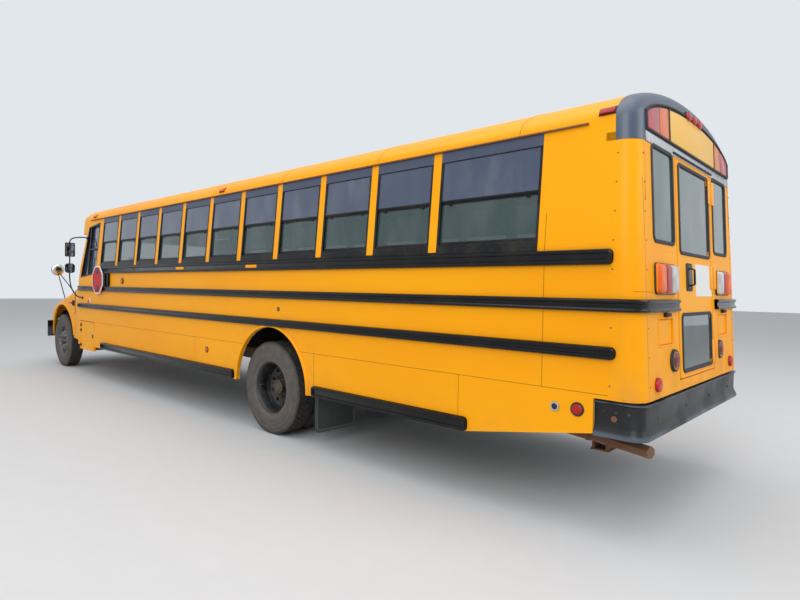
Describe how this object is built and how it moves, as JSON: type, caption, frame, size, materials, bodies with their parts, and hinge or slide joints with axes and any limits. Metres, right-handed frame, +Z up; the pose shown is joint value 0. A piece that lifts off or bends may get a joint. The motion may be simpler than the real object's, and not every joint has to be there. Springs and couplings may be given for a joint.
{
  "type": "school bus",
  "caption": "Long-hood school bus with a hollow cabin, benches, opening doors, hood and roof hatches, a fold-out stop arm, steered front wheels and rolling dual rear wheels.",
  "frame": {"origin": "on the ground under the middle of the bus's bounding box", "axes": "+X forward, +Y to the driver's left, +Z up"},
  "size_m": [12.121, 2.9, 3.118],
  "materials": {
    "yellow": "gloss school-bus yellow, dusty low down",
    "black_trim": "semi-gloss black paint",
    "slate_cap": "dull slate-blue paint",
    "tinted_glass": "tinted safety glass",
    "clear_glass": "clear safety glass",
    "tyre": "dusty black rubber",
    "rubber_flap": "plain black rubber sheet",
    "grey_wheel": "grey paint with road dirt",
    "chassis_steel": "black chassis paint with rust and dirt",
    "rusty_pipe": "brown rust",
    "seat_vinyl": "dark green vinyl",
    "floor_mat": "ribbed black rubber",
    "signal_red": "reflective red, blank"
  },
  "bodies": {
    "root": {"battery_tray": "chassis_steel", "benches_left": "seat_vinyl", "benches_right": "seat_vinyl", "cowl": "yellow", "dashboard": "black_trim", "driver_seat": "seat_vinyl", "driver_window": "tinted_glass", "engine": "chassis_steel", "exhaust": "rusty_pipe", "floor": "floor_mat", "frame": "chassis_steel", "front_axle": "chassis_steel", "front_bumper": "black_trim", "front_cap": "yellow", "fuel_tank": "black_trim", "mud_flap_left": "rubber_flap", "mud_flap_right": "rubber_flap", "rear_axle": "chassis_steel", "rear_bumper": "black_trim", "rear_cap": "slate_cap", "rear_glass_left": "tinted_glass", "rear_glass_right": "tinted_glass", "rear_wall": "yellow", "roof": "yellow", "side_mirror_left": "black_trim", "side_mirror_right": "black_trim", "side_wall_left": "yellow", "side_wall_right": "yellow", "step_well": "black_trim", "window_frames_left": "black_trim", "window_frames_right": "black_trim", "window_glass_left": "tinted_glass", "window_glass_right": "tinted_glass", "windshield": "clear_glass"},
    "hood": {"hood": "yellow", "grille": "black_trim", "crossview_mirror_left": "black_trim", "crossview_mirror_right": "black_trim"},
    "entrance_leaf_front": {"door_leaf_front": "black_trim", "door_glass_front": "tinted_glass"},
    "entrance_leaf_rear": {"door_leaf_rear": "black_trim", "door_glass_rear": "tinted_glass"},
    "emergency_door": {"rear_door": "yellow", "rear_door_glass": "tinted_glass"},
    "battery_hatch": {"battery_door": "yellow"},
    "stop_sign": {"stop_arm": "signal_red"},
    "front_roof_hatch": {"roof_hatch_front": "yellow"},
    "rear_roof_hatch": {"roof_hatch_rear": "yellow"},
    "steer_left": {"knuckle_left": "chassis_steel"},
    "steer_right": {"knuckle_right": "chassis_steel"},
    "wheel_front_left": {"front_wheel_left": "grey_wheel", "front_tyre_left": "tyre"},
    "wheel_front_right": {"front_wheel_right": "grey_wheel", "front_tyre_right": "tyre"},
    "wheels_rear_left": {"rear_wheel_left": "black_trim", "rear_tyre_left_inner": "tyre", "rear_tyre_left_outer": "tyre"},
    "wheels_rear_right": {"rear_wheel_right": "black_trim", "rear_tyre_right_inner": "tyre", "rear_tyre_right_outer": "tyre"}
  },
  "joints": [
    {"name": "hood_tilt", "type": "hinge", "parent": "root", "child": "hood", "pos_m": [5.9395, 0, 0.885], "axis": [0, 1, 0], "range_deg": [0, 60]},
    {"name": "entrance_front", "type": "hinge", "parent": "root", "child": "entrance_leaf_front", "pos_m": [3.4925, -1.147, 0.415], "axis": [0, 0, 1], "range_deg": [0, 88]},
    {"name": "entrance_rear", "type": "hinge", "parent": "root", "child": "entrance_leaf_rear", "pos_m": [2.7865, -1.147, 0.415], "axis": [0, 0, 1], "range_deg": [-88, 0]},
    {"name": "emergency_door_swing", "type": "hinge", "parent": "root", "child": "emergency_door", "pos_m": [-6.03486, -0.448, 1], "axis": [0.0519, 0, 0.9987], "range_deg": [0, 105]},
    {"name": "battery_hatch_swing", "type": "hinge", "parent": "root", "child": "battery_hatch", "pos_m": [3.7575, 1.219, 0.454], "axis": [0, 0, -1], "range_deg": [0, 100]},
    {"name": "stop_sign_swing", "type": "hinge", "parent": "root", "child": "stop_sign", "pos_m": [2.4895, 1.2684, 1.68], "axis": [0, 0, 1], "range_deg": [0, 90]},
    {"name": "front_hatch_lift", "type": "hinge", "parent": "root", "child": "front_roof_hatch", "pos_m": [0.6645, 0, 3.0885], "axis": [0, -1, 0], "range_deg": [0, 60]},
    {"name": "rear_hatch_lift", "type": "hinge", "parent": "root", "child": "rear_roof_hatch", "pos_m": [-3.6355, 0, 3.0885], "axis": [0, -1, 0], "range_deg": [0, 60]},
    {"name": "steering_left", "type": "hinge", "parent": "root", "child": "steer_left", "pos_m": [5.0205, 0.88, 0.50564], "axis": [0, 0, 1], "range_deg": [-38, 38]},
    {"name": "steering_right", "type": "hinge", "parent": "root", "child": "steer_right", "pos_m": [5.0205, -0.88, 0.50564], "axis": [0, 0, 1], "range_deg": [-38, 38]},
    {"name": "front_left_roll", "type": "hinge", "parent": "steer_left", "child": "wheel_front_left", "pos_m": [5.0205, 1.02, 0.50564], "axis": [0, 1, 0], "continuous": true},
    {"name": "front_right_roll", "type": "hinge", "parent": "steer_right", "child": "wheel_front_right", "pos_m": [5.0205, -1.02, 0.50564], "axis": [0, 1, 0], "continuous": true},
    {"name": "rear_left_roll", "type": "hinge", "parent": "root", "child": "wheels_rear_left", "pos_m": [-2.0665, 0.9, 0.50564], "axis": [0, 1, 0], "continuous": true},
    {"name": "rear_right_roll", "type": "hinge", "parent": "root", "child": "wheels_rear_right", "pos_m": [-2.0665, -0.9, 0.50564], "axis": [0, 1, 0], "continuous": true}
  ],
  "couplings": [
    {"joint": "entrance_rear", "follows": "entrance_front", "ratio": -1},
    {"joint": "steering_right", "follows": "steering_left", "ratio": 1}
  ]
}
